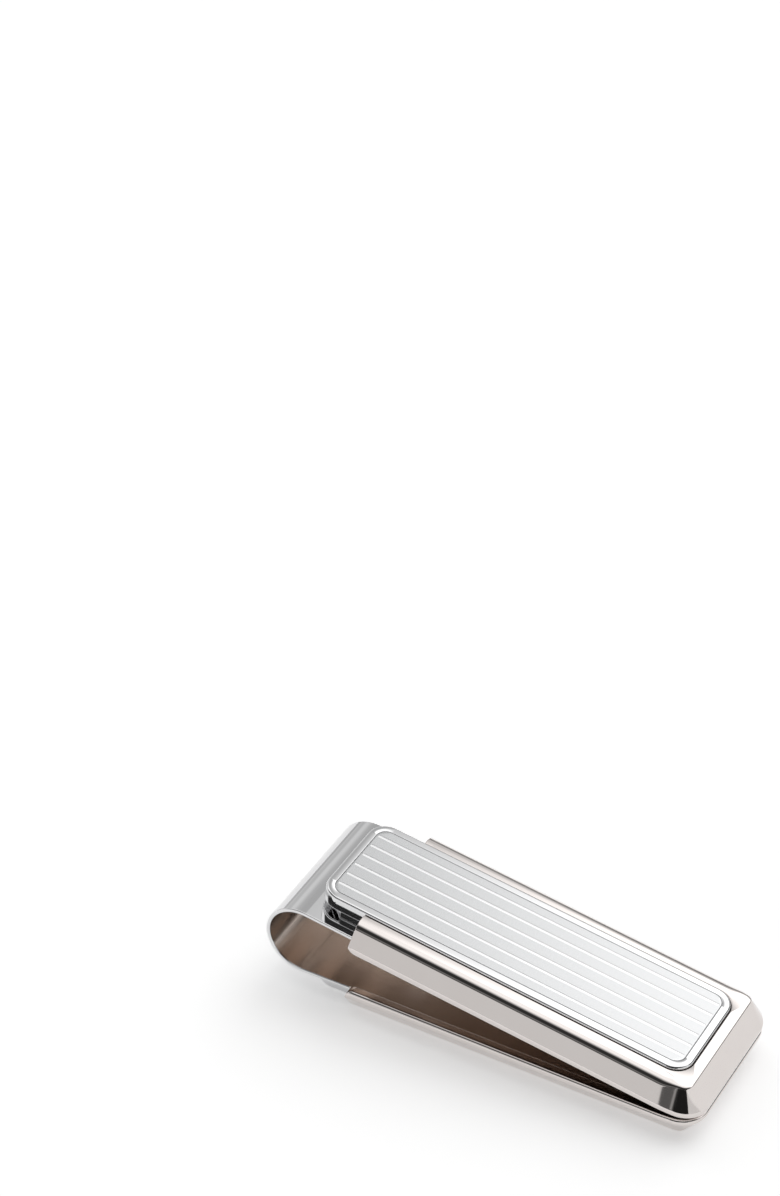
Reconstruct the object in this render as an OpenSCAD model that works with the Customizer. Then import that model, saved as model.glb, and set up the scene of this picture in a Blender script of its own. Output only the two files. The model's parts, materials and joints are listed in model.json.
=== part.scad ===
// Lever money clip: two bevelled jaw halves on one U-shaped leaf spring, each with a
// sliding lever that is drawn out past the spring and squeezed to open the jaws.
//
// Row frame: +X along the length towards the jaws, +Z up, the lower lever flat on z = 0.
// A half is drawn in its own frame: x towards the jaws, y across, z away from the other
// half, with the origin on the line where the inner planes of the two halves cross.

/* [Jaw halves] */
// Widest width, at the foot of the walls
body_w = 20; // [18:0.5:26]
// Width across the flat bezel on top of a half
bezel_w = 16.8; // [14:0.1:20]
// Length of a half, from the jaw end of its bezel to its open end
frame_l = 41.3; // [36:0.1:55]
// Height of a half, from its inner plane to the bezel
frame_h = 3.6; // [3.4:0.1:5]
// How far the foot of the jaw end stands out past the bezel
nose_slant = 2.2; // [1:0.1:4]
// Height of the upright lip at the foot of the walls
lip_h = 1; // [0.5:0.05:1.2]
// Radius of the jaw corners at the foot
nose_corner_r = 3.2; // [2:0.1:4]
// Radius at the foot of the open end of each wall
wall_corner_r = 1.0; // [0.5:0.1:1.4]
// Width of the bezel at the jaw end
nose_bezel = 1.23; // [0.6:0.01:2]
// Width of the bezel along each side
side_bezel = 1.45; // [0.8:0.05:2]
// Height of the rails that hold the lever down
rail_h = 1.2; // [0.8:0.05:1.3]
// Thickness of the side walls beside the leaf and the jaw plate
wall_t = 1.2; // [0.8:0.05:1.5]
// Least thickness of the side walls beside the flanges of the lever
rail_wall_t = 0.93; // [0.6:0.01:1.1]

/* [Wedge] */
// Angle between the two halves at rest
wedge = 8.5; // [6:0.1:12]
// Where the inner planes cross, back from the jaw end of the bezel
cross_inset = 1.8; // [0:0.1:3]
// Clearance between the two lips at the jaw tip
tip_gap = 0.04; // [0.02:0.01:0.2]

/* [Leaf spring] */
// Thickness of the strip
leaf_t = 0.5; // [0.4:0.05:0.7]
// Distance from the open end of the halves to the middle of the bend
bend_overhang = 6.3; // [6:0.1:12]
// Where the strip ends under the jaw end of the window
leaf_nose_gap = 0.4; // [0.2:0.1:2]

/* [Jaw plates] */
// Thickness of the plate that closes a half
plate_t = 0.35; // [0.3:0.05:0.5]
// Depth of the plate below the feet of the walls at the open end
plate_recess = 0.35; // [0.33:0.01:0.5]
// How far the plate reaches past the crossing line towards the jaw tip
plate_nose = 2.0; // [0.5:0.1:2.5]

/* [Levers] */
// How far a stowed lever reaches past the open end of its half
lever_overhang = 6.0; // [3:0.1:6.2]
// Radius of the lever's corners
lever_corner_r = 2.35; // [1.5:0.05:3]
// How far the face stands above the bezel
lever_proud = 0.3; // [0.1:0.05:0.8]
// Thickness of the lever where it overhangs the spring
cap_t = 1.9; // [1.5:0.05:2.2]
// How far the flanges end before the open end of the lever
flange_setback = 4.5; // [3:0.1:8]
// How far the thick middle of the lever ends before its open end
core_setback = 1.1; // [0.8:0.1:4]
// Cut-off at the corners of the thick middle and of the flanges
core_chamfer = 2.0; // [1:0.1:3]
// Travel of a lever from stowed to drawn out
travel = 21; // [15:0.5:24]

/* [Face plates] */
// Polished rim left around the face plate
rim_w = 1.0; // [0.6:0.05:2]
// Thickness of the face plate
face_t = 0.4; // [0.3:0.05:0.5]
// Number of pinstripes
stripe_n = 6; // [2:1:9]
// Distance from one pinstripe to the next
stripe_pitch = 1.8; // [0.8:0.05:2]
// Width of a pinstripe
stripe_w = 0.36; // [0.15:0.01:0.5]
// Depth of a pinstripe
stripe_d = 0.03; // [0.03:0.01:0.1]
// Gap between the ends of the pinstripes and the edge of the plate
stripe_end = 0.2; // [0.2:0.05:2]

/* [Stop pins and drag springs] */
// Radius of the stop pin's shank
pin_r = 0.8; // [0.5:0.05:1]
// Radius of the stop pin's sunk head
pin_head_r = 1.3; // [1.1:0.05:1.6]
// Distance of the stop pin from the open end of a half
pin_inset = 3.5; // [2.5:0.1:6]
// How far the stop pin stands above the leaf
pin_up = 0.8; // [0.5:0.05:0.9]
// Width of the drag spring
drag_w = 2.8; // [2:0.1:5]
// Thickness of the drag spring
drag_t = 0.2; // [0.1:0.02:0.25]
// Depth of the pocket that holds the drag spring
drag_pocket = 0.6; // [0.5:0.05:0.9]
// Distance of the drag spring's pocket from the jaw end of the lever
drag_inset = 2.0; // [1.5:0.1:4]
// Metal left between the drag spring's pocket and the stop slot
drag_web = 1.5; // [0.8:0.1:3]

/* [Clearances] */
// Lever to window and rails, each side
slide_gap = 0.1; // [0.05:0.01:0.2]
// Lever to leaf, and flange to rail
glide_gap = 0.06; // [0.04:0.01:0.15]
// Drag spring to leaf
drag_gap = 0.02; // [0.01:0.01:0.05]
// Pieces of one half to each other
seat_gap = 0.03; // [0.02:0.01:0.06]

/* [Hidden] */

round_fn = 96;
hull_fn = 32;
far = 200;      // longer than anything that it cuts
sliver = 0.01;  // thickness of the top slab that shapes the bevels
over = 0.2;     // how far a cut runs past the face that it opens

// Lengths in the half's own frame
bezel_x = cross_inset;
nose_x = bezel_x + nose_slant;
open_x = bezel_x - frame_l;
window_x = bezel_x - nose_bezel;
lever_x = window_x - slide_gap;
lever_back_x = open_x - lever_overhang;
lever_l = lever_x - lever_back_x;
leaf_nose_x = window_x - leaf_nose_gap;
pin_x = open_x + pin_inset;
slot_r = pin_r + slide_gap;
drag_x = lever_x - drag_inset;
drag_l = drag_x - (pin_x + travel + slot_r + drag_web) - 2 * slide_gap;

// Heights in the half's own frame
leaf_in = plate_recess + plate_t;
leaf_out = leaf_in + leaf_t;
lever_in = leaf_out + glide_gap;
rail_in = frame_h - rail_h;
face_out = frame_h + lever_proud;
flange_t = rail_in - glide_gap - lever_in;
foot_rise = nose_x * tan(wedge / 2) + tip_gap / 2;
foot_slope = atan(foot_rise / (nose_x - open_x));

// Widths follow from the slanted walls and from how thick they are at each height
function wall_out(z) = bezel_w + (body_w - bezel_w) * min(1, (frame_h - z) / (frame_h - lip_h));
leaf_w = wall_out(leaf_out) - 2 * (wall_t + seat_gap);
plate_w = wall_out(leaf_in) - 2 * (wall_t + seat_gap);
channel_w = min(wall_out(rail_in) - 2 * rail_wall_t, leaf_w - 4 * seat_gap);
flange_w = channel_w - 2 * slide_gap;
lever_w = bezel_w - 2 * (side_bezel + slide_gap);

// The bend is a circle that both legs of the leaf touch
bend_x = open_x - bend_overhang;
leaf_reach = -bend_x / cos(wedge / 2);
bend_r = leaf_out + leaf_reach * sin(wedge / 2);

// Place of the crossing line in the row frame: length centred, lower face on z = 0
tip_reach = max(nose_x, nose_x * cos(wedge) + lip_h * sin(wedge));
bend_far = bend_r - bend_x;
cross_x = (bend_far - tip_reach) / 2;
cross_z = face_out;

module lower_half() {
    translate([cross_x, 0, cross_z]) mirror([0, 0, 1]) children();
}

module upper_half() {
    translate([cross_x, 0, cross_z]) rotate([0, wedge, 0]) children();
}

// A flat outline stood up on the y axis and drawn out across the half
module across(width) {
    rotate([90, 0, 0]) linear_extrude(height = width, center = true) children();
}

// A block from one x to another, centred on y, between two heights
module bar(from_x, to_x, width, low, high) {
    translate([from_x, -width / 2, low]) cube([to_x - from_x, width, high - low]);
}

module round_rect(length, width, radius) {
    square([length - 2 * radius, width], center = true);
    square([length, width - 2 * radius], center = true);
    for (sx = [-1, 1], sy = [-1, 1])
        translate([sx * (length / 2 - radius), sy * (width / 2 - radius)])
            circle(r = radius, $fn = round_fn);
}

// The lever's outline grown by a margin, between two heights
module lever_slab(margin, low, high) {
    translate([lever_x - lever_l / 2, 0, low])
        linear_extrude(height = high - low)
            round_rect(lever_l + 2 * margin, lever_w + 2 * margin, lever_corner_r + margin);
}

// An outline that runs from the jaw end of the lever to a back end with cut corners
module cut_corner_slab(width, back_x, low, high) {
    half = width / 2;
    translate([0, 0, low])
        linear_extrude(height = high - low)
            polygon([[lever_x, -half], [lever_x, half],
                     [back_x + core_chamfer, half], [back_x, half - core_chamfer],
                     [back_x, core_chamfer - half], [back_x + core_chamfer, -half]]);
}

// ---- Jaw halves ----

// Foot outline: square at the open end, rounded at the two jaw corners
module foot_outline() {
    translate([open_x, -body_w / 2]) square([nose_x - open_x - nose_corner_r, body_w]);
    for (side = [-1, 1])
        translate([nose_x - nose_corner_r, side * (body_w / 2 - nose_corner_r)])
            circle(r = nose_corner_r, $fn = hull_fn);
}

module frame_block() {
    hull() {
        translate([0, 0, -over]) linear_extrude(height = lip_h + over) foot_outline();
        bar(open_x, bezel_x, bezel_w, frame_h - sliver, frame_h);
    }
}

// The feet rise a little towards the jaw tip, so that the two lips meet there
module foot_cut() {
    translate([open_x, 0, 0]) rotate([0, -foot_slope, 0])
        translate([-far / 2, -far / 2, -far]) cube([far, far, far]);
}

module wall_corner_cut() {
    translate([open_x, 0, 0])
        across(far)
            difference() {
                translate([-over, -over]) square([wall_corner_r + over, wall_corner_r + over]);
                translate([wall_corner_r, wall_corner_r]) circle(r = wall_corner_r, $fn = round_fn);
            }
}

module jaw_frame() {
    difference() {
        frame_block();
        foot_cut();
        wall_corner_cut();
        // window for the lever's face
        bar(open_x - over, lever_x - lever_corner_r, lever_w + 2 * slide_gap, leaf_in, frame_h + over);
        lever_slab(slide_gap, leaf_in, frame_h + over);
        // channel for the flanges, under the rails
        bar(open_x - over, window_x, channel_w, leaf_in, rail_in);
        // pockets for the leaf and the jaw plate
        bar(open_x - over, leaf_nose_x + seat_gap, leaf_w + 2 * seat_gap, leaf_in - over, leaf_out);
        bar(open_x - over, plate_nose + seat_gap, plate_w + 2 * seat_gap, -over, leaf_in);
    }
}

module jaw_plate() {
    difference() {
        bar(open_x, plate_nose, plate_w, plate_recess, leaf_in);
        translate([pin_x, 0, plate_recess])
            cylinder(r1 = pin_head_r, r2 = pin_r, h = plate_t, $fn = round_fn);
    }
}

// The head is sunk flush in the jaw plate, and the shank limits the lever's travel
module stop_pin() {
    translate([pin_x, 0, plate_recess])
        cylinder(r1 = pin_head_r, r2 = pin_r, h = plate_t, $fn = round_fn);
    translate([pin_x, 0, leaf_in])
        cylinder(r = pin_r, h = leaf_t + pin_up, $fn = round_fn);
}

// ---- Leaf spring ----

// The wedge between the two legs out to a radius, with a full round bend behind it.
// It is drawn about the axis of the bend, and the legs end square at their length.
module leaf_outline(radius, leg_l) {
    along = [cos(wedge), -sin(wedge)];
    out = [sin(wedge), cos(wedge)];
    inner = bend_r - leaf_t;
    circle(r = radius, $fn = round_fn);
    polygon([[0, -radius], [leg_l, -radius], [leg_l, -inner],
             inner * out + leg_l * along, radius * out + leg_l * along, radius * out]);
}

module leaf_pin_hole() {
    translate([pin_x, 0, leaf_in - over])
        cylinder(r = pin_r + seat_gap, h = leaf_t + 2 * over, $fn = round_fn);
}

module leaf_strip() {
    leg_l = leaf_nose_x - bend_x;
    translate([cross_x + bend_x, 0, cross_z + leaf_reach * sin(wedge / 2)])
        across(leaf_w)
            difference() {
                leaf_outline(bend_r, leg_l);
                leaf_outline(bend_r - leaf_t, leg_l + over);
            }
}

// ---- Levers ----

module stop_slot() {
    height = pin_up + glide_gap;
    translate([pin_x, 0, lever_in - over])
        linear_extrude(height = height + over) {
            for (x = [0, travel]) translate([x, 0]) circle(r = slot_r, $fn = round_fn);
            translate([0, -slot_r]) square([travel, 2 * slot_r]);
        }
}

module drag_recess() {
    bar(drag_x - drag_l - 2 * slide_gap, drag_x, drag_w + 2 * slide_gap,
        lever_in - over, lever_in + drag_pocket);
}

module lever() {
    difference() {
        union() {
            lever_slab(0, face_out - cap_t, face_out);
            intersection() {
                lever_slab(0, lever_in, face_out);
                cut_corner_slab(lever_w, lever_back_x + core_setback, lever_in, face_out);
            }
            intersection() {
                cut_corner_slab(flange_w, lever_back_x + flange_setback,
                                lever_in, lever_in + flange_t);
                bar(lever_back_x, lever_x - lever_corner_r, far, lever_in, face_out);
            }
        }
        lever_slab(-rim_w, face_out - face_t, face_out + over);
        stop_slot();
        drag_recess();
    }
}

module face_plate() {
    stripe_l = lever_l - 2 * (rim_w + stripe_end);
    mid_x = lever_x - lever_l / 2;
    difference() {
        lever_slab(-rim_w - seat_gap, face_out - face_t, face_out);
        for (i = [0 : stripe_n - 1])
            translate([mid_x - stripe_l / 2, (i - (stripe_n - 1) / 2) * stripe_pitch - stripe_w / 2,
                       face_out - stripe_d])
                cube([stripe_l, stripe_w, stripe_d + over]);
    }
}

// A shallow bow: its ends press on the roof of the pocket and its middle rubs the leaf
module drag_spring() {
    low = leaf_out + drag_gap;
    high = lever_in + drag_pocket;
    rise = high - low - drag_t;
    bow_r = (drag_l * drag_l / 4 + rise * rise) / (2 * rise);
    translate([drag_x - slide_gap - drag_l / 2, 0, low])
        across(drag_w)
            intersection() {
                translate([0, bow_r])
                    difference() {
                        circle(r = bow_r, $fn = round_fn);
                        circle(r = bow_r - drag_t, $fn = round_fn);
                    }
                translate([-drag_l / 2, 0]) square([drag_l, high - low]);
            }
}

// ---- Nodes ----

module leaf_spring() {
    color([0.74, 0.73, 0.72])
        difference() {
            leaf_strip();
            lower_half() leaf_pin_hole();
            upper_half() leaf_pin_hole();
        }
}

module lower_frame() { color([0.82, 0.81, 0.80]) lower_half() jaw_frame(); }
module upper_frame() { color([0.82, 0.81, 0.80]) upper_half() jaw_frame(); }
module lower_jaw_plate() { color([0.60, 0.57, 0.54]) lower_half() jaw_plate(); }
module upper_jaw_plate() { color([0.60, 0.57, 0.54]) upper_half() jaw_plate(); }
module lower_stop_pin() { color([0.66, 0.65, 0.64]) lower_half() stop_pin(); }
module upper_stop_pin() { color([0.66, 0.65, 0.64]) upper_half() stop_pin(); }
module lower_lever() { color([0.80, 0.80, 0.80]) lower_half() lever(); }
module upper_lever() { color([0.80, 0.80, 0.80]) upper_half() lever(); }
module lower_face_plate() { color([0.76, 0.77, 0.77]) lower_half() face_plate(); }
module upper_face_plate() { color([0.76, 0.77, 0.77]) upper_half() face_plate(); }
module lower_drag_spring() { color([0.70, 0.70, 0.71]) lower_half() drag_spring(); }
module upper_drag_spring() { color([0.70, 0.70, 0.71]) upper_half() drag_spring(); }

leaf_spring();
lower_frame();
lower_jaw_plate();
lower_stop_pin();
lower_lever();
lower_face_plate();
lower_drag_spring();
upper_frame();
upper_jaw_plate();
upper_stop_pin();
upper_lever();
upper_face_plate();
upper_drag_spring();
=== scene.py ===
"""Lever money clip: polished jaw halves, sliding levers with pinstriped faces, and a leaf spring.

Every size is in metres. A half is drawn in its own frame, with its origin on the axis of the
spring's bend: x towards the jaws, y across, z outwards. HALVES places it in the row frame.
"""
import json
import math

import bmesh
import bpy
from bpy.props import FloatProperty, FloatVectorProperty, IntProperty, PointerProperty
from mathutils import Matrix, Vector


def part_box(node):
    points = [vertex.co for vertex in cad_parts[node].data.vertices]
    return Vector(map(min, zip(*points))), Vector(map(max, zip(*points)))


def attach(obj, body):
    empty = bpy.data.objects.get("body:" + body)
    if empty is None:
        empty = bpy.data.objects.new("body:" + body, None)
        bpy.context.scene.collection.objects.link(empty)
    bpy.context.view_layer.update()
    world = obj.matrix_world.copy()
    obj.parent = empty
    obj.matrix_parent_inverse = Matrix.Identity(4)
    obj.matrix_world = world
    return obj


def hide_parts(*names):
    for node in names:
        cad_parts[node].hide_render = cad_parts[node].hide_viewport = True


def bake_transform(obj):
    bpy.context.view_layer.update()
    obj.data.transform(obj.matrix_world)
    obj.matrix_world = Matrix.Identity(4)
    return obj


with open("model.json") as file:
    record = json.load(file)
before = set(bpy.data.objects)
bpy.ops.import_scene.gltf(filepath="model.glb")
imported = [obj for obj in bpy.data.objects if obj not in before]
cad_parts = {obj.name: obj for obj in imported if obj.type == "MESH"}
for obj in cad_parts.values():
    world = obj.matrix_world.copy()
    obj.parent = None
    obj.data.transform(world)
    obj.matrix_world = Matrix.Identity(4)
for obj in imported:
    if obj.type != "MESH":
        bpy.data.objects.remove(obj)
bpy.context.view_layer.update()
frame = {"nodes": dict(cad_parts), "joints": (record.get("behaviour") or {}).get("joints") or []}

bl_info = {
    "name": "Lever Money Clip",
    "version": (1, 0, 0),
    "blender": (4, 5, 0),
    "location": "View3D > Sidebar > Money Clip",
    "description": "Builds the finished pieces of a lever money clip around its packed frame",
    "category": "Add Mesh",
}

MM = 0.001

# ---- The two halves ----

JOINTS = {joint["name"]: joint for joint in frame["joints"]}
HINGE = Vector(JOINTS["jaw_hinge"]["pos_m"])
SLIDE_AXIS = Vector(JOINTS["upper_lever_slide"]["axis"])
TRAVEL = JOINTS["upper_lever_slide"]["range_m"][1]
WEDGE = math.atan2(SLIDE_AXIS.z, -SLIDE_AXIS.x)
HALVES = {
    "lower": Matrix.Translation(HINGE) @ Matrix.Diagonal((1, 1, -1, 1)),
    "upper": Matrix.Translation(HINGE) @ Matrix.Rotation(WEDGE, 4, "Y"),
}


def half_box(piece):
    """Lowest and highest corner of a piece, in the frame of its own half."""
    low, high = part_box("lower_" + piece)
    return (Vector((low.x - HINGE.x, low.y, HINGE.z - high.z)),
            Vector((high.x - HINGE.x, high.y, HINGE.z - low.z)))


FRAME_LOW, FRAME_HIGH = half_box("frame")
PLATE_HIGH = half_box("jaw_plate")[1]
LEVER_LOW, LEVER_HIGH = half_box("lever")
FACE_LOW, FACE_HIGH = half_box("face_plate")
PIN_LOW, PIN_HIGH = half_box("stop_pin")
DRAG_LOW, DRAG_HIGH = half_box("drag_spring")
LEAF_WIDTH = 2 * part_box("leaf_spring")[1].y
BEND_RADIUS = HINGE.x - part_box("leaf_spring")[0].x
LEAF_THICKNESS = BEND_RADIUS - PLATE_HIGH.z

# ---- Settings ----


def length(name, description, default):
    return FloatProperty(name=name, description=description, default=default, min=0.0,
                         precision=5, subtype="DISTANCE", unit="LENGTH")


def tone(name, description, default):
    return FloatVectorProperty(name=name, description=description, default=default,
                               min=0.0, max=1.0, size=3, subtype="COLOR")


def share(name, description, default):
    return FloatProperty(name=name, description=description, default=default, min=0.0,
                         max=1.0, subtype="FACTOR")


class ClipJawSettings(bpy.types.PropertyGroup):
    bezel_width: length("Bezel width", "Width across the flat top of a half", 16.8 * MM)
    nose_slant: length("Nose slant", "How far the foot of the jaw end stands out", 2.2 * MM)
    lip_height: length("Lip height", "Height of the upright lip at the foot", 1.0 * MM)
    lip_round: length("Lip rounding", "Radius at the bottom of the lip", 0.45 * MM)
    foot_round: length("Foot rounding", "Radius where the wall turns into the lip", 0.6 * MM)
    corner_radius: length("Corner radius", "Radius of the jaw corners at the foot", 3.2 * MM)
    bezel_corner: length("Bezel corner", "Radius of the bezel's own corners", 0.8 * MM)
    bead_radius: length("Bead radius", "Rounding of the bezel at the open end", 1.85 * MM)
    bead_tip: length("Bead tip", "Rounding of the bezel at the jaw corner", 0.9 * MM)
    nose_edge: length("Nose edge", "Rounding of the bezel across the jaw end", 0.25 * MM)
    lead_length: length("Lead length", "How far a wall bends gently before its corner", 2.4 * MM)
    lead_angle: FloatProperty(name="Lead angle", description="How much it bends there",
                              default=math.radians(7), subtype="ANGLE", unit="ROTATION")
    window_edge: length("Window edge", "Rounding of the window's upper edge", 0.10 * MM)
    end_round: length("End rounding", "Rounding around the open end of a wall", 0.075 * MM)
    wall_corner: length("Wall corner", "Radius at the foot of the open end", 1.0 * MM)
    rail_height: length("Rail height", "Height of the rails that hold the lever", 1.2 * MM)
    seat_gap: length("Seat gap", "Clearance between pieces of one half", 0.03 * MM)
    slide_gap: length("Slide gap", "Clearance beside the lever", 0.1 * MM)


class ClipLeverSettings(bpy.types.PropertyGroup):
    rim_width: length("Rim width", "Polished rim around the face plate", 1.0 * MM)
    corner_radius: length("Corner radius", "Radius of the lever's corners", 2.35 * MM)
    cap_thickness: length("Cap thickness", "Thickness over the spring", 1.9 * MM)
    top_round: length("Top rounding", "Rounding of the rim's outer edge", 0.32 * MM)
    under_round: length("Under rounding", "Rounding below the cap", 0.25 * MM)
    seam_round: length("Seam rounding", "Rounding beside the face plate", 0.07 * MM)
    core_setback: length("Core setback", "How far the thick middle ends early", 1.1 * MM)
    flange_setback: length("Flange setback", "How far the flanges end early", 4.5 * MM)
    chamfer: length("Chamfer", "Cut-off at the corners of core and flanges", 2.0 * MM)
    flange_thickness: length("Flange thickness", "Thickness of a flange", 1.08 * MM)
    slot_radius: length("Slot radius", "Half width of the stop slot", 0.9 * MM)
    slot_height: length("Slot height", "Depth of the stop slot", 0.86 * MM)
    pocket_height: length("Pocket height", "Depth of the drag spring's pocket", 0.6 * MM)


class ClipFaceSettings(bpy.types.PropertyGroup):
    stripe_count: IntProperty(name="Pinstripes", description="Number of pinstripes",
                              default=6, min=1, max=12)
    stripe_pitch: length("Pitch", "Distance from one pinstripe to the next", 1.8 * MM)
    stripe_width: length("Width", "Width of a pinstripe", 0.36 * MM)
    stripe_depth: length("Depth", "Depth of a pinstripe", 0.03 * MM)
    stripe_end: length("End", "Gap from a pinstripe to the plate's edge", 0.2 * MM)
    stripe_wall: length("Wall", "Run of the slanted walls of a pinstripe", 0.03 * MM)
    edge_round: length("Edge rounding", "Rounding of the plate's upper edge", 0.07 * MM)


class ClipLeafSettings(bpy.types.PropertyGroup):
    edge_round: length("Edge rounding", "Rounding of the strip's long edges", 0.16 * MM)
    bend_steps: IntProperty(name="Bend steps", description="Facets round the bend",
                            default=144, min=16, max=256)
    blend_share: share("Blend share", "Half length of the stretch that bends, in bend radii", 0.13)


class ClipFinishSettings(bpy.types.PropertyGroup):
    steel: tone("Steel", "Colour of polished steel", (0.70, 0.658, 0.637))
    steel_deep: tone("Steel, deep", "Colour of its slightly warmer patches", (0.67, 0.625, 0.603))
    # Painted shade: the steel between the jaws and on the leaf's inner face gets a darker, browner
    # colour that stands in for the dim reflections between the jaw plates; its deep colour, darker
    # still, lies in random patches.
    inside: tone("Inside", "Colour of the steel between the jaws", (0.56, 0.49, 0.44))
    inside_shade_deep: tone("Inside shade, deep", "Colour of its darker patches", (0.42, 0.35, 0.305))
    cool: tone("Cool steel", "Colour of the levers and of the leaf's outside", (0.70, 0.70, 0.705))
    face: tone("Face", "Colour of the brushed face", (0.63, 0.635, 0.64))
    face_deep: tone("Face, deep", "Colour between the brush lines", (0.56, 0.565, 0.57))
    stripe: tone("Stripe", "Colour of the pinstripes", (0.87, 0.87, 0.875))
    polish: share("Polish", "Roughness of polished steel", 0.05)
    haze: share("Haze", "Roughness of the steel between the jaws", 0.16)
    satin: share("Satin", "Roughness of the brushed face", 0.22)


class ClipStageSettings(bpy.types.PropertyGroup):
    azimuth: FloatProperty(name="Azimuth", description="Camera's angle round the object",
                           default=math.radians(29.5), subtype="ANGLE", unit="ROTATION")
    elevation: FloatProperty(name="Elevation", description="Camera's angle above the floor",
                             default=math.radians(36.9), subtype="ANGLE", unit="ROTATION")
    roll: FloatProperty(name="Roll", description="Camera's turn about its own axis",
                        default=math.radians(-0.19), subtype="ANGLE", unit="ROTATION")
    distance: length("Distance", "From the camera to the point that it looks at", 443.7 * MM)
    aim: FloatVectorProperty(name="Aim", description="Point that the camera looks at",
                             default=(-50.17 * MM, 60.6 * MM, 0.3 * MM), subtype="XYZ",
                             unit="LENGTH")
    lens: FloatProperty(name="Lens", description="Focal length on a 36 mm sensor",
                        default=101.7, subtype="DISTANCE_CAMERA", unit="CAMERA")
    floor: tone("Floor", "Colour of the floor", (0.90, 0.90, 0.90))
    floor_glow: share("Floor glow", "Light that comes through the floor", 0.36)
    floor_size: length("Floor size", "Half the side of the floor", 3.0)


GROUPS = {
    "clip_jaw": ClipJawSettings,
    "clip_lever": ClipLeverSettings,
    "clip_face": ClipFaceSettings,
    "clip_leaf": ClipLeafSettings,
    "clip_finish": ClipFinishSettings,
    "clip_stage": ClipStageSettings,
}

# ---- Outlines ----


def offset_corners(corners, inset):
    """The corners of a closed outline, turning left, with each side moved inwards."""
    moved = []
    for i, point in enumerate(corners):
        before = (point - corners[i - 1]).normalized()
        after = (corners[(i + 1) % len(corners)] - point).normalized()
        turn = 1 + before.dot(after)
        inwards = Vector((-before.y - after.y, before.x + after.x))
        moved.append(point + inwards * inset / turn)
    return moved


def fillet(corners, radii, steps):
    """A closed outline with an arc of its own radius and number of steps at each corner."""
    points = []
    for i, corner in enumerate(corners):
        if not steps[i]:
            points.append(corner)
            continue
        back = (corners[i - 1] - corner).normalized()
        on = (corners[(i + 1) % len(corners)] - corner).normalized()
        half = back.angle(on) / 2
        reach = radii[i] / math.tan(half)
        middle = corner + (back + on).normalized() * (radii[i] / math.sin(half))
        start, end = corner + back * reach - middle, corner + on * reach - middle
        sweep = math.pi - 2 * half
        for k in range(steps[i] + 1):
            t = k / steps[i]
            weight_start = math.sin((1 - t) * sweep) / math.sin(sweep)
            weight_end = math.sin(t * sweep) / math.sin(sweep)
            points.append(middle + start * weight_start + end * weight_end)
    return points


def outline(corners, radius, steps, inset=0.0):
    """A filleted outline moved inwards by an inset, always with the same number of points."""
    count = len(corners)
    radii = radius if isinstance(radius, list) else [radius] * count
    smallest = 0.005 * MM
    return fillet(offset_corners(corners, inset),
                  [max(r - inset, smallest) for r in radii], [steps] * count)


def rectangle(low_x, high_x, half_width):
    return [Vector((low_x, -half_width)), Vector((high_x, -half_width)),
            Vector((high_x, half_width)), Vector((low_x, half_width))]


# ---- Meshes ----


class Shell:
    """A mesh that is built ring by ring and then placed in one half or in the row frame."""

    def __init__(self):
        self.bm = bmesh.new()

    def ring(self, points):
        return [self.bm.verts.new(point) for point in points]

    def level(self, points, z):
        return self.ring([(p.x, p.y, z) for p in points])

    def skin(self, rings, slot=0, last_slot=None):
        """Joins rings. The strip that closes each ring can have a slot of its own."""
        for low, high in zip(rings, rings[1:]):
            for i in range(len(low)):
                j = (i + 1) % len(low)
                own = last_slot if last_slot is not None and j == 0 else slot
                self.bm.faces.new((low[i], low[j], high[j], high[i])).material_index = own

    def cap(self, ring, slot=0):
        self.bm.faces.new(ring).material_index = slot

    def cap_with_holes(self, rings, slot=0):
        edges = []
        for ring in rings:
            for i, vert in enumerate(ring):
                pair = (vert, ring[(i + 1) % len(ring)])
                edges.append(self.bm.edges.get(pair) or self.bm.edges.new(pair))
        made = bmesh.ops.triangle_fill(self.bm, edges=edges, use_beauty=True)
        for face in made["geom"]:
            if isinstance(face, bmesh.types.BMFace):
                face.material_index = slot

    def rounded_levels(self, corners, radius, steps, low, high, low_round, high_round):
        """Rings from a rounded lower edge to a rounded upper edge."""
        arc = 5
        rings = []
        for edge, size, sign in ((low, low_round, 1), (high, high_round, -1)):
            turns = range(arc + 1) if sign == 1 else range(arc, -1, -1)
            for k in turns:
                angle = math.pi / 2 * k / arc
                inset = size * (1 - math.sin(angle))
                z = edge + sign * size * (1 - math.cos(angle))
                rings.append(self.level(outline(corners, radius, steps, inset), z))
        return rings

    def finish(self, name, matrix, materials):
        bm = self.bm
        bmesh.ops.transform(bm, matrix=matrix, verts=bm.verts)
        bmesh.ops.recalc_face_normals(bm, faces=bm.faces)
        mesh = bpy.data.meshes.new(name)
        bm.to_mesh(mesh)
        bm.free()
        mesh.shade_smooth()
        mesh.set_sharp_from_angle(angle=math.radians(40))
        for material in materials:
            mesh.materials.append(material)
        piece = bpy.data.objects.new(name, mesh)
        bpy.context.scene.collection.objects.link(piece)
        even = piece.modifiers.new("Even shading", "WEIGHTED_NORMAL")
        even.keep_sharp = True
        even.weight = 60
        return piece


def hand_over(piece, node, body):
    """The piece stands for its node, which it hides, and rides on its body."""
    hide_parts(node)
    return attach(piece, body)


# ---- Materials ----


def add(tree, kind, **values):
    """A node with its properties and its unlinked inputs set. An input's spaces are written _."""
    node = tree.nodes.new(kind)
    for key, value in values.items():
        if hasattr(node, key):
            setattr(node, key, value)
        else:
            node.inputs[key.replace("_", " ")].default_value = value
    return node


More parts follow.
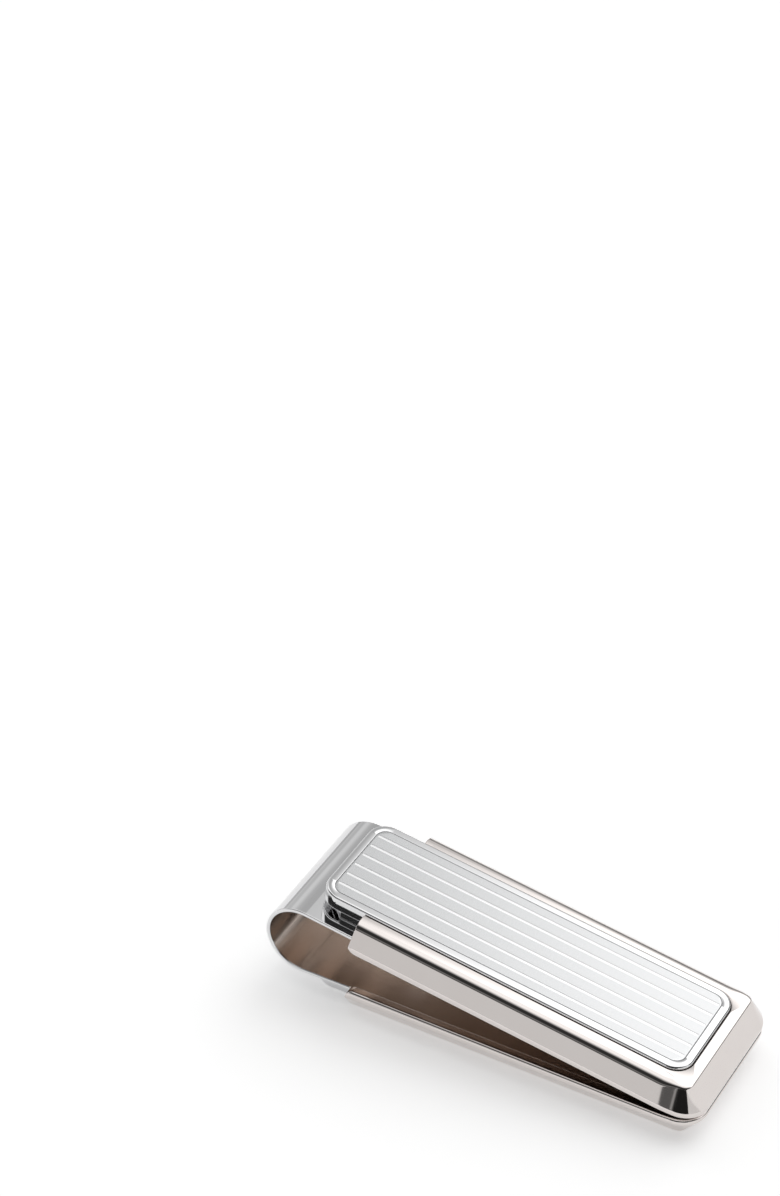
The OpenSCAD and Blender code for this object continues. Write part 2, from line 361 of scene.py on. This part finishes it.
def marks_group(name, patterns, relief):
    """A group for fine marks on steel. The patterns give its mask and the height of its marks."""
    found = bpy.data.node_groups.get(name)
    if found:
        return found
    tree = bpy.data.node_groups.new(name, "ShaderNodeTree")
    for socket in ("Roughness", "Unevenness", "Depth"):
        tree.interface.new_socket(name=socket, in_out="INPUT", socket_type="NodeSocketFloat")
    for socket, kind in (("Mask", "Float"), ("Roughness", "Float"), ("Normal", "Vector")):
        tree.interface.new_socket(name=socket, in_out="OUTPUT", socket_type="NodeSocket" + kind)
    link = tree.links.new
    entry, leave = add(tree, "NodeGroupInput"), add(tree, "NodeGroupOutput")
    place = add(tree, "ShaderNodeTexCoord")
    mask, marks = patterns(tree, place.outputs["Object"])
    uneven = add(tree, "ShaderNodeMath", operation="MULTIPLY_ADD")
    link(marks, uneven.inputs[0])
    link(entry.outputs["Unevenness"], uneven.inputs[1])
    link(entry.outputs["Roughness"], uneven.inputs[2])
    bump = add(tree, "ShaderNodeBump", Distance=relief)
    link(entry.outputs["Depth"], bump.inputs["Strength"])
    link(marks, bump.inputs["Height"])
    link(mask, leave.inputs["Mask"])
    link(uneven.outputs["Value"], leave.inputs["Roughness"])
    link(bump.outputs["Normal"], leave.inputs["Normal"])
    return tree


def stretched_noise(tree, place, scale, detail, grain):
    """Noise drawn out along its smallest scale, in lines per metre along each axis."""
    stretch = add(tree, "ShaderNodeMapping")
    stretch.inputs["Scale"].default_value = scale
    noise = add(tree, "ShaderNodeTexNoise", Scale=1.0, Detail=detail, Roughness=grain)
    tree.links.new(place, stretch.inputs["Vector"])
    tree.links.new(stretch.outputs["Vector"], noise.inputs["Vector"])
    return noise.outputs["Fac"]


def polish_patterns(tree, place):
    """Broad patches for the colour, and hairline scratches along the clip."""
    patches = add(tree, "ShaderNodeTexNoise", Scale=260.0, Detail=4.0, Roughness=0.6)
    tree.links.new(place, patches.inputs["Vector"])
    scratches = stretched_noise(tree, place, (500.0, 9000.0, 5200.0), 3.0, 0.5)
    return patches.outputs["Fac"], scratches


def brush_patterns(tree, place):
    """Fine brush lines across the clip, for the colour and the height alike."""
    lines = stretched_noise(tree, place, (14000.0, 700.0, 2000.0), 5.0, 0.65)
    return lines, lines


def polish_marks_group():
    return marks_group("Polish marks", polish_patterns, 0.002 * MM)


def brush_lines_group():
    return marks_group("Brush lines", brush_patterns, 0.004 * MM)


def steel(name, group, light, deep, roughness, unevenness, depth):
    """Bare steel whose colour, roughness and normal vary with a group of fine marks."""
    material = bpy.data.materials.get(name)
    if material:
        return material
    material = bpy.data.materials.new(name)
    material.use_nodes = True
    material.diffuse_color = (*light, 1.0)
    tree = material.node_tree
    tree.nodes.clear()
    link = tree.links.new
    marks = add(tree, "ShaderNodeGroup", node_tree=group)
    marks.inputs["Roughness"].default_value = roughness
    marks.inputs["Unevenness"].default_value = unevenness
    marks.inputs["Depth"].default_value = depth
    colour = add(tree, "ShaderNodeMix", data_type="RGBA")
    colour.inputs["A"].default_value = (*deep, 1.0)
    colour.inputs["B"].default_value = (*light, 1.0)
    shader = add(tree, "ShaderNodeBsdfPrincipled", Metallic=1.0)
    out = add(tree, "ShaderNodeOutputMaterial")
    link(marks.outputs["Mask"], colour.inputs["Factor"])
    link(colour.outputs["Result"], shader.inputs["Base Color"])
    link(marks.outputs["Roughness"], shader.inputs["Roughness"])
    link(marks.outputs["Normal"], shader.inputs["Normal"])
    link(shader.outputs["BSDF"], out.inputs["Surface"])
    return material


def polished_steel(name="Polished steel", extra=0.0):
    finish = bpy.context.scene.clip_finish
    return steel(name, polish_marks_group(), finish.steel, finish.steel_deep,
                 finish.polish + extra, 0.02, 0.03)


def cool_steel():
    finish = bpy.context.scene.clip_finish
    return steel("Cool steel", polish_marks_group(), finish.cool, finish.cool,
                 finish.polish, 0.02, 0.03)


# Steel with painted shade: its darker, browner colour stands in for the dim reflections between the
# jaws, and its deep colour lies in random patches.
def shaded_inside_steel():
    finish = bpy.context.scene.clip_finish
    return steel("Shaded inside steel", polish_marks_group(), finish.inside, finish.inside_shade_deep,
                 finish.haze, 0.08, 0.05)


def stripe_steel():
    finish = bpy.context.scene.clip_finish
    return steel("Bright stripe", polish_marks_group(), finish.stripe, finish.stripe,
                 0.3, 0.02, 0.0)


def brushed_steel():
    finish = bpy.context.scene.clip_finish
    return steel("Brushed steel", brush_lines_group(), finish.face, finish.face_deep,
                 finish.satin, 0.05, 0.25)


# ---- Jaw halves ----


def jaw_section(jaw, window, bezel, foot, pocket, leaf, channel, bead):
    """One cross-section of a jaw frame, out from the window, as (distance outwards, height)."""
    top = FRAME_HIGH.z
    base = FRAME_LOW.z
    lip = base + jaw.lip_height
    rail = top - jaw.rail_height
    pocket_edge = 0.08 * MM
    corners = [
        (window, top), (window, rail), (channel, rail), (channel, BEND_RADIUS),
        (leaf, BEND_RADIUS), (leaf, PLATE_HIGH.z), (pocket, PLATE_HIGH.z), (pocket, base),
        (foot, base), (foot, lip), (bezel, top),
    ]
    radii = [jaw.window_edge, 0, 0, 0, 0, 0, 0, pocket_edge, jaw.lip_round, jaw.foot_round, bead]
    steps = [4, 0, 0, 0, 0, 0, 0, 2, 6, 6, 14]
    return fillet([Vector(corner) for corner in corners], radii, steps)


def foot_height(x, jaw):
    """How far the foot stands above its lowest level: it rises to the jaw tip and at the end."""
    rise = (half_tip_rise() * (x - FRAME_LOW.x)) / (FRAME_HIGH.x - FRAME_LOW.x)
    into = max(0.0, jaw.wall_corner - (x - FRAME_LOW.x))
    corner = jaw.wall_corner - math.sqrt(jaw.wall_corner ** 2 - into ** 2)
    return rise, corner


def half_tip_rise():
    """The lips all but meet at the jaw tip, half way between the two inner planes."""
    tip_gap = 0.04 * MM
    along = FRAME_HIGH.x * math.tan(WEDGE / 2)
    return along + tip_gap / 2 - FRAME_LOW.z


def squeeze(point, jaw):
    """Lifts the lower part of a section, so that the foot follows its rise and its corner."""
    rise, corner = foot_height(point.x, jaw)
    for lift, top in ((rise, PLATE_HIGH.z), (corner, BEND_RADIUS)):
        height = top - FRAME_LOW.z
        if point.z < top:
            point.z += lift * (top - point.z) / height
    slope = (point.z - FRAME_LOW.z - jaw.lip_height) / (
        FRAME_HIGH.z - FRAME_LOW.z - jaw.lip_height)
    widest = FRAME_HIGH.y - (FRAME_HIGH.y - jaw.bezel_width / 2) * max(0.0, slope)
    side = math.copysign(min(abs(point.y), widest), point.y)
    return Vector((point.x, side, point.z))


def smooth(t):
    """Eases from 0 to 1."""
    return t * t * (3 - 2 * t)


def build_jaw_frame(half, materials):
    scene = bpy.context.scene
    jaw, lever = scene.clip_jaw, scene.clip_lever
    window_y = FACE_HIGH.y + jaw.seat_gap + lever.rim_width + jaw.slide_gap
    window_x = LEVER_HIGH.x + jaw.slide_gap
    channel_y = LEVER_HIGH.y + jaw.slide_gap
    hair = 0.01 * MM
    side_widths = dict(window=window_y, bezel=jaw.bezel_width / 2, foot=FRAME_HIGH.y,
                       pocket=PLATE_HIGH.y + jaw.seat_gap, leaf=LEAF_WIDTH / 2 + jaw.seat_gap,
                       channel=channel_y)
    nose_widths = dict(window=window_x, bezel=FRAME_HIGH.x - jaw.nose_slant, foot=FRAME_HIGH.x,
                       pocket=PLATE_HIGH.x + jaw.seat_gap, leaf=window_x + 2 * hair,
                       channel=window_x + hair)
    nose = jaw_section(jaw, **nose_widths, bead=jaw.nose_edge)
    tip = jaw_section(jaw, **side_widths, bead=jaw.bead_tip)
    root = jaw_section(jaw, **side_widths, bead=jaw.bead_radius)
    wall_height = FRAME_HIGH.z - FRAME_LOW.z - jaw.lip_height
    window_corner = lever.corner_radius + jaw.slide_gap
    pocket_corner = 0.3 * MM

    def corner_radius(k):
        if tip[k].x <= window_y + 2 * jaw.window_edge:
            return window_corner
        if tip[k].x <= side_widths["pocket"] and tip[k].y < FRAME_HIGH.z - jaw.rail_height + hair:
            return pocket_corner
        down = min(1.0, (FRAME_HIGH.z - tip[k].y) / wall_height)
        return jaw.bezel_corner + (jaw.corner_radius - jaw.bezel_corner) * down

    radii = [corner_radius(k) for k in range(len(tip))]
    rows = range(len(tip))
    stations = []

    # the open end: a rounded edge, then the rounded corner at its foot
    arc, foot_steps = 5, 10
    for k in range(arc):
        angle = math.pi / 2 * k / arc
        inset = jaw.end_round * (1 - math.sin(angle))
        x = FRAME_LOW.x + jaw.end_round * (1 - math.cos(angle))
        shrunk = offset_corners(root, inset)
        stations.append([Vector((x, -shrunk[i].x, shrunk[i].y)) for i in rows])
    for k in range(foot_steps + 1):
        depth = jaw.end_round + (jaw.wall_corner - jaw.end_round) * (k / foot_steps) ** 1.5
        stations.append([Vector((FRAME_LOW.x + depth, -root[i].x, root[i].y)) for i in rows])

    # the sides: straight, then bending gently and easing from the root section to the tip's
    outer = [tip[i].x > side_widths["pocket"] or (
        tip[i].y > FRAME_HIGH.z - jaw.rail_height and tip[i].x > window_y + 2 * jaw.window_edge)
        for i in rows]
    leads = [jaw.lead_angle if outer[i] else 0.0 for i in rows]
    reach = [nose[i].x - radii[i] * (1 - math.sin(leads[i])) for i in rows]
    along = 8
    first_x = FRAME_LOW.x + jaw.wall_corner
    for k in range(1, along + 1):
        stations.append([Vector((
            first_x + (reach[i] - jaw.lead_length - first_x) * k / along,
            -root[i].x, root[i].y)) for i in rows])
    lead_steps = 10
    drops = [jaw.lead_length * math.tan(leads[i]) / 2 for i in rows]
    for k in range(1, lead_steps):
        t = k / lead_steps
        ease = smooth(t)
        stations.append([Vector((
            reach[i] - jaw.lead_length * (1 - t),
            -(root[i].x + (tip[i].x - root[i].x) * ease) + drops[i] * t * t,
            root[i].y + (tip[i].y - root[i].y) * ease)) for i in rows])

    # the jaw corner, easing from the side's section to the nose's, and then the other side
    turns = 28
    for k in range(turns + 1):
        t = k / turns
        ease = smooth(t)
        ring = []
        for i in rows:
            angle = leads[i] + (math.pi / 2 - leads[i]) * t
            ring.append(Vector((
                reach[i] + radii[i] * (math.sin(angle) - math.sin(leads[i])),
                -tip[i].x + drops[i] + radii[i] * (math.cos(leads[i]) - math.cos(angle)),
                tip[i].y + (nose[i].y - tip[i].y) * ease)))
        stations.append(ring)
    stations += [[Vector((p.x, -p.y, p.z)) for p in ring] for ring in reversed(stations)]

    shell = Shell()
    rings = [shell.ring([squeeze(p, jaw) for p in ring]) for ring in stations]
    shell.skin(rings)
    shell.cap(rings[0])
    shell.cap(rings[-1])
    piece = shell.finish(half + "_jaw_frame", HALVES[half], materials)
    hand_over(piece, half + "_frame", half + "_jaw")


class CLIP_OT_jaw_frames(bpy.types.Operator):
    """Builds the two polished jaw frames with their beads, lips and rounded corners"""

    bl_idname = "clip.jaw_frames"
    bl_label = "Jaw Frames"

    def execute(self, context):
        for half in HALVES:
            build_jaw_frame(half, [polished_steel()])
        return {"FINISHED"}


# ---- Levers ----


def build_lever(half, materials):
    scene = bpy.context.scene
    jaw, lever = scene.clip_jaw, scene.clip_lever
    half_width = FACE_HIGH.y + jaw.seat_gap + lever.rim_width
    back, front = LEVER_LOW.x, LEVER_HIGH.x
    top, base = LEVER_HIGH.z, LEVER_LOW.z
    steps = 14
    shell = Shell()

    # cap: rounded all round, with the recess for the face plate
    cap = rectangle(back, front, half_width)
    radius = lever.corner_radius
    low = top - lever.cap_thickness
    rings = shell.rounded_levels(cap, radius, steps, low, top, lever.under_round, lever.top_round)
    recess = lever.rim_width
    for k in range(4):
        angle = math.pi / 2 * k / 3
        inset = recess - lever.seam_round * (1 - math.sin(angle))
        z = top - lever.seam_round * (1 - math.cos(angle))
        rings.append(shell.level(outline(cap, radius, steps, inset), z))
    rings.append(shell.level(outline(cap, radius, steps, recess), FACE_LOW.z))
    shell.skin(rings)
    shell.cap(rings[0])
    shell.cap(rings[-1])

    # thick middle with cut corners, and the stop slot and spring pocket in its underside
    inner = half_width - lever.chamfer
    core_back = back + lever.core_setback
    core = [Vector((core_back + lever.chamfer, -half_width)), Vector((front, -half_width)),
            Vector((front, half_width)), Vector((core_back + lever.chamfer, half_width)),
            Vector((core_back, inner)), Vector((core_back, -inner))]
    cut, edge_round = 0.4 * MM, 0.1 * MM
    core_radii = [cut, radius, radius, cut, cut, cut]
    inside = 0.3 * MM
    hair = 0.02 * MM
    core = offset_corners(core, hair)
    rings = shell.rounded_levels(core, core_radii, 8, base, low + inside, edge_round, hair)
    shell.skin(rings)
    shell.cap(rings[-1])
    pin_x = (PIN_LOW.x + PIN_HIGH.x) / 2
    slot = rectangle(pin_x - lever.slot_radius, pin_x + TRAVEL + lever.slot_radius,
                     lever.slot_radius)
    pocket = rectangle(DRAG_LOW.x - jaw.slide_gap, DRAG_HIGH.x + jaw.slide_gap,
                       DRAG_HIGH.y + jaw.slide_gap)
    pocket_corner = 0.2 * MM
    holes = []
    for shape, corner, height in ((slot, lever.slot_radius - hair, lever.slot_height),
                                  (pocket, pocket_corner, lever.pocket_height)):
        mouth = shell.level(outline(shape, corner, 8), base)
        roof = shell.level(outline(shape, corner, 8), base + height)
        shell.skin([mouth, roof])
        shell.cap(roof)
        holes.append(mouth)
    shell.cap_with_holes([rings[0], *holes])

    # flanges: a bar along each side, with its back corner cut
    flange_back = back + lever.flange_setback
    flange_edge = 0.08 * MM
    sunk = 0.5 * MM
    edge, root = LEVER_HIGH.y, half_width - sunk
    for side in (-1, 1):
        bar = [Vector((flange_back + lever.chamfer, -edge)), Vector((front - radius, -edge)),
               Vector((front - radius, -root)), Vector((flange_back + sunk, -root))]
        bar_radii = [0.3 * MM, 0.1 * MM, 0.1 * MM, 0.1 * MM]
        if side == 1:
            bar = [Vector((p.x, -p.y)) for p in reversed(bar)]
            bar_radii.reverse()
        rings = shell.rounded_levels(bar, bar_radii, 4, base + hair,
                                     base + lever.flange_thickness, flange_edge, flange_edge)
        shell.skin(rings)
        shell.cap(rings[0])
        shell.cap(rings[-1])
    piece = shell.finish(half + "_lever_body", HALVES[half], materials)
    hand_over(piece, half + "_lever", half + "_slider")


class CLIP_OT_levers(bpy.types.Operator):
    """Builds the two sliding levers with their rims, undercuts, flanges and stop slots"""

    bl_idname = "clip.levers"
    bl_label = "Levers"

    def execute(self, context):
        for half in HALVES:
            build_lever(half, [cool_steel()])
        return {"FINISHED"}


# ---- Face plates ----


def build_face_plate(half, materials):
    scene = bpy.context.scene
    face, lever, jaw = scene.clip_face, scene.clip_lever, scene.clip_jaw
    shape = rectangle(FACE_LOW.x, FACE_HIGH.x, FACE_HIGH.y)
    radius = lever.corner_radius - lever.rim_width - jaw.seat_gap
    top = FACE_HIGH.z
    under_edge, stripe_corner = 0.03 * MM, 0.06 * MM
    shell = Shell()
    rings = shell.rounded_levels(shape, radius, 14, FACE_LOW.z, top, under_edge, face.edge_round)
    shell.skin(rings)
    shell.cap(rings[0])
    mouths = []
    first = -(face.stripe_count - 1) / 2
    for i in range(face.stripe_count):
        middle = (first + i) * face.stripe_pitch
        stripe = [p + Vector((0, middle)) for p in
                  rectangle(FACE_LOW.x + face.stripe_end, FACE_HIGH.x - face.stripe_end,
                            face.stripe_width / 2)]
        mouth = shell.level(outline(stripe, stripe_corner, 4), top)
        bed = shell.level(outline(stripe, stripe_corner, 4, face.stripe_wall),
                          top - face.stripe_depth)
        shell.skin([mouth, bed], slot=1)
        shell.cap(bed, slot=1)
        mouths.append(mouth)
    shell.cap_with_holes([rings[-1], *mouths])
    piece = shell.finish(half + "_pinstripe_face", HALVES[half], materials)
    hand_over(piece, half + "_face_plate", half + "_slider")


class CLIP_OT_face_plates(bpy.types.Operator):
    """Builds the two brushed face plates with their engraved pinstripes"""

    bl_idname = "clip.face_plates"
    bl_label = "Face Plates"

    def execute(self, context):
        bright = stripe_steel()
        for half in HALVES:
            build_face_plate(half, [brushed_steel(), bright])
        return {"FINISHED"}


# ---- Leaf spring ----


class CLIP_OT_leaf(bpy.types.Operator):
    """Builds the leaf spring as one strip, bent round its own axis from one leg to the other"""

    bl_idname = "clip.leaf"
    bl_label = "Leaf Spring"

    def execute(self, context):
        leaf = context.scene.clip_leaf
        middle = BEND_RADIUS - LEAF_THICKNESS / 2
        end_gap = 0.3 * MM
        leg = LEVER_HIGH.x - end_gap
        edge = [Vector(p) for p in ((-LEAF_THICKNESS / 2, -LEAF_WIDTH / 2),
                                    (LEAF_THICKNESS / 2, -LEAF_WIDTH / 2),
                                    (LEAF_THICKNESS / 2, LEAF_WIDTH / 2),
                                    (-LEAF_THICKNESS / 2, LEAF_WIDTH / 2))]
        section = outline(edge, leaf.edge_round, 5)
        half_turn = (math.pi + WEDGE) / 2
        stations = []
        leg_steps = 10
        for k in range(leg_steps):
            stations.append((-half_turn, leg * (1 - k / leg_steps)))
        for k in range(leaf.bend_steps + 1):
            stations.append((-half_turn + 2 * half_turn * k / leaf.bend_steps, 0.0))
        for k in range(leg_steps):
            stations.append((half_turn, leg * (k + 1) / leg_steps))
        shell = Shell()
        rings = []
        for angle, along in stations:
            rings.append(shell.ring([leaf_point(angle, along, middle + p.x, p.y) for p in section]))
        # The strip's inner face takes the second slot, the steel with painted shade from between
        # the jaws.
        shell.skin(rings, last_slot=1)
        shell.cap(rings[0])
        shell.cap(rings[-1])
        piece = shell.finish("leaf_strip", Matrix.Translation(HINGE),
                             [cool_steel(), shaded_inside_steel()])
        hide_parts("leaf_spring")
        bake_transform(piece)
        return {"FINISHED"}


def leaf_point(angle, along, radius, y):
    """A point of the strip: its angle round the bend, its way along a leg, and its radius."""
    back = Vector((-math.cos(WEDGE / 2), 0, math.sin(WEDGE / 2)))
    across = Vector((math.sin(WEDGE / 2), 0, math.cos(WEDGE / 2)))
    outwards = back * math.cos(angle) + across * math.sin(angle)
    onwards = Vector((outwards.z, 0, -outwards.x)) if angle > 0 else Vector(
        (-outwards.z, 0, outwards.x))
    return outwards * radius + onwards * along + Vector((0, y, 0))


# ---- Jaw plates, pins and drag springs ----


class CLIP_OT_inner_pieces(bpy.types.Operator):
    """Finishes the jaw plates, stop pins and drag springs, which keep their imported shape"""

    bl_idname = "clip.inner_pieces"
    bl_label = "Plates, Pins and Springs"

    def execute(self, context):
        plain = polished_steel("Plain steel", 0.10)
        for name, node in frame["nodes"].items():
            if not name.endswith(("jaw_plate", "stop_pin", "drag_spring")):
                continue
            node.data.materials.clear()
            # The jaw plates take the steel with painted shade from between the jaws; pins and
            # springs take plain steel.
            node.data.materials.append(shaded_inside_steel() if name.endswith("plate") else plain)
            weld = node.modifiers.new("Join facets", "WELD")
            weld.merge_threshold = 0.001 * MM
            edge = node.modifiers.new("Broken edges", "BEVEL")
            edge.width = 0.05 * MM
            edge.segments = 3
            edge.limit_method = "ANGLE"
            edge.angle_limit = math.radians(35)
        return {"FINISHED"}


# ---- Stage ----


def studio_world(context):
    """A white studio with a brighter overhead, a shaded back and black cards at the front.

    Places are in degrees: height above the horizon, and turn to the left or right of the front.
    """
    world = bpy.data.worlds.new("Studio")
    context.scene.world = world
    world.use_nodes = True
    tree = world.node_tree
    tree.nodes.clear()
    link = tree.links.new

    def math_node(operation, *values):
        node = add(tree, "ShaderNodeMath", operation=operation)
        for i, value in enumerate(values):
            if isinstance(value, (int, float)):
                node.inputs[i].default_value = value
            else:
                link(value, node.inputs[i])
        return node.outputs[0]

    def step(value, start, end, low=0.0, high=1.0):
        node = add(tree, "ShaderNodeMapRange", interpolation_type="SMOOTHSTEP",
                   From_Min=start, From_Max=end, To_Min=low, To_Max=high)
        link(value, node.inputs["Value"])
        return node.outputs["Result"]

    def band(value, low, high, soft):
        return math_node("SUBTRACT", step(value, low - soft, low + soft),
                         step(value, high - soft, high + soft))

    def over(level, value, *masks):
        """Lays a value over the level where all the masks are one."""
        mask = masks[0]
        for other in masks[1:]:
            mask = math_node("MULTIPLY", mask, other)
        change = math_node("SUBTRACT", value, level)
        return math_node("MULTIPLY_ADD", change, mask, level)

    place = add(tree, "ShaderNodeTexCoord")
    split = add(tree, "ShaderNodeSeparateXYZ")
    link(place.outputs["Generated"], split.inputs["Vector"])
    x, y, z = (split.outputs[axis] for axis in "XYZ")
    height = math_node("MULTIPLY", math_node("ARCSINE", z), 180 / math.pi)
    turn = math_node("MULTIPLY", math_node("ARCTAN2", x, math_node("MULTIPLY", y, -1.0)),
                     180 / math.pi)
    behind = step(math_node("ABSOLUTE", turn), 118, 150)

    # a brighter overhead, and behind it a wash that grows towards the jaw end
    level = step(height, 32, 52, 1.0, 1.7)
    wash = step(x, -0.21, -0.06, 0.66, 2.3)
    level = over(level, wash, behind, step(height, 26, 36))
    # a grey and a black strip low at the back, and a dark card beside them
    level = over(level, 0.45, behind, band(height, 9, 20, 3))
    level = over(level, 0.04, behind, band(height, -2, 8, 1.5))
    level = over(level, 0.05, band(height, 8, 30, 2), band(turn, 108, 148, 4))
    # a black card high at the front, with a grey strip in it
    front = band(turn, -85, 100, 8)
    level = over(level, 0.045, front, step(height, 26, 28), step(height, 76, 56))
    level = over(level, 0.24, band(turn, -85, 4, 4), band(height, 31, 40, 1.5))
    # low cards for the jaw corner: grey, a thin light gap, and black
    low_card = band(height, -9, 27, 0.7)
    level = over(level, 0.15, band(turn, -5.5, 2, 0.5), low_card)
    level = over(level, 0.55, band(turn, 1.6, 2.6, 0.3), low_card)
    level = over(level, 0.02, band(turn, 2.6, 50, 0.5), low_card)
    glow = add(tree, "ShaderNodeBackground")
    link(level, glow.inputs["Strength"])
    out = add(tree, "ShaderNodeOutputWorld")
    link(glow.outputs["Background"], out.inputs["Surface"])


def floor_material(colour, glow):
    material = bpy.data.materials.new("Floor")
    material.use_nodes = True
    shader = material.node_tree.nodes["Principled BSDF"]
    shader.inputs["Base Color"].default_value = (*colour, 1.0)
    shader.inputs["Roughness"].default_value = 0.9
    shader.inputs["Specular IOR Level"].default_value = 0.0
    shader.inputs["Emission Color"].default_value = (1.0, 1.0, 1.0, 1.0)
    shader.inputs["Emission Strength"].default_value = glow
    return material


class CLIP_OT_stage(bpy.types.Operator):
    """Builds the floor, the studio light and the camera"""

    bl_idname = "clip.stage"
    bl_label = "Stage"

    def execute(self, context):
        scene = context.scene
        stage = scene.clip_stage
        studio_world(context)

        mesh = bpy.data.meshes.new("floor")
        side = stage.floor_size
        mesh.from_pydata([(-side, -side, 0), (side, -side, 0), (side, side, 0), (-side, side, 0)],
                         [], [(0, 1, 2, 3)])
        mesh.materials.append(floor_material(stage.floor, stage.floor_glow))
        floor = bpy.data.objects.new("floor", mesh)
        scene.collection.objects.link(floor)

        lens = bpy.data.cameras.new("camera")
        lens.lens = stage.lens
        lens.clip_start = 0.01
        lens.clip_end = 20.0
        camera = bpy.data.objects.new("camera", lens)
        scene.collection.objects.link(camera)
        level = math.cos(stage.elevation)
        back = Vector((math.sin(stage.azimuth) * level, -math.cos(stage.azimuth) * level,
                       math.sin(stage.elevation)))
        turn = (-back).to_track_quat("-Z", "Y").to_matrix().to_4x4()
        camera.matrix_world = (Matrix.Translation(Vector(stage.aim) + back * stage.distance)
                               @ turn @ Matrix.Rotation(stage.roll, 4, "Z"))
        scene.camera = camera
        scene.view_settings.view_transform = "Standard"
        return {"FINISHED"}


class CLIP_PT_panel(bpy.types.Panel):
    """Lists the steps that build the money clip"""

    bl_idname = "CLIP_PT_panel"
    bl_label = "Money Clip"
    bl_space_type = "VIEW_3D"
    bl_region_type = "UI"
    bl_category = "Money Clip"

    def draw(self, context):
        for operator in OPERATORS:
            self.layout.operator(operator.bl_idname)
        for name, group in GROUPS.items():
            box = self.layout.box()
            for key in group.__annotations__:
                box.prop(getattr(context.scene, name), key)


OPERATORS = (CLIP_OT_jaw_frames, CLIP_OT_levers, CLIP_OT_face_plates, CLIP_OT_leaf,
             CLIP_OT_inner_pieces, CLIP_OT_stage)
CLASSES = (*GROUPS.values(), *OPERATORS, CLIP_PT_panel)


def register():
    for cls in CLASSES:
        bpy.utils.register_class(cls)
    for name, group in GROUPS.items():
        setattr(bpy.types.Scene, name, PointerProperty(type=group))


def unregister():
    for name in GROUPS:
        delattr(bpy.types.Scene, name)
    for cls in reversed(CLASSES):
        bpy.utils.unregister_class(cls)


def main():
    register()
    for operator in OPERATORS:
        group, name = operator.bl_idname.split(".")
        getattr(getattr(bpy.ops, group), name)()


if __name__ == "__main__":
    main()
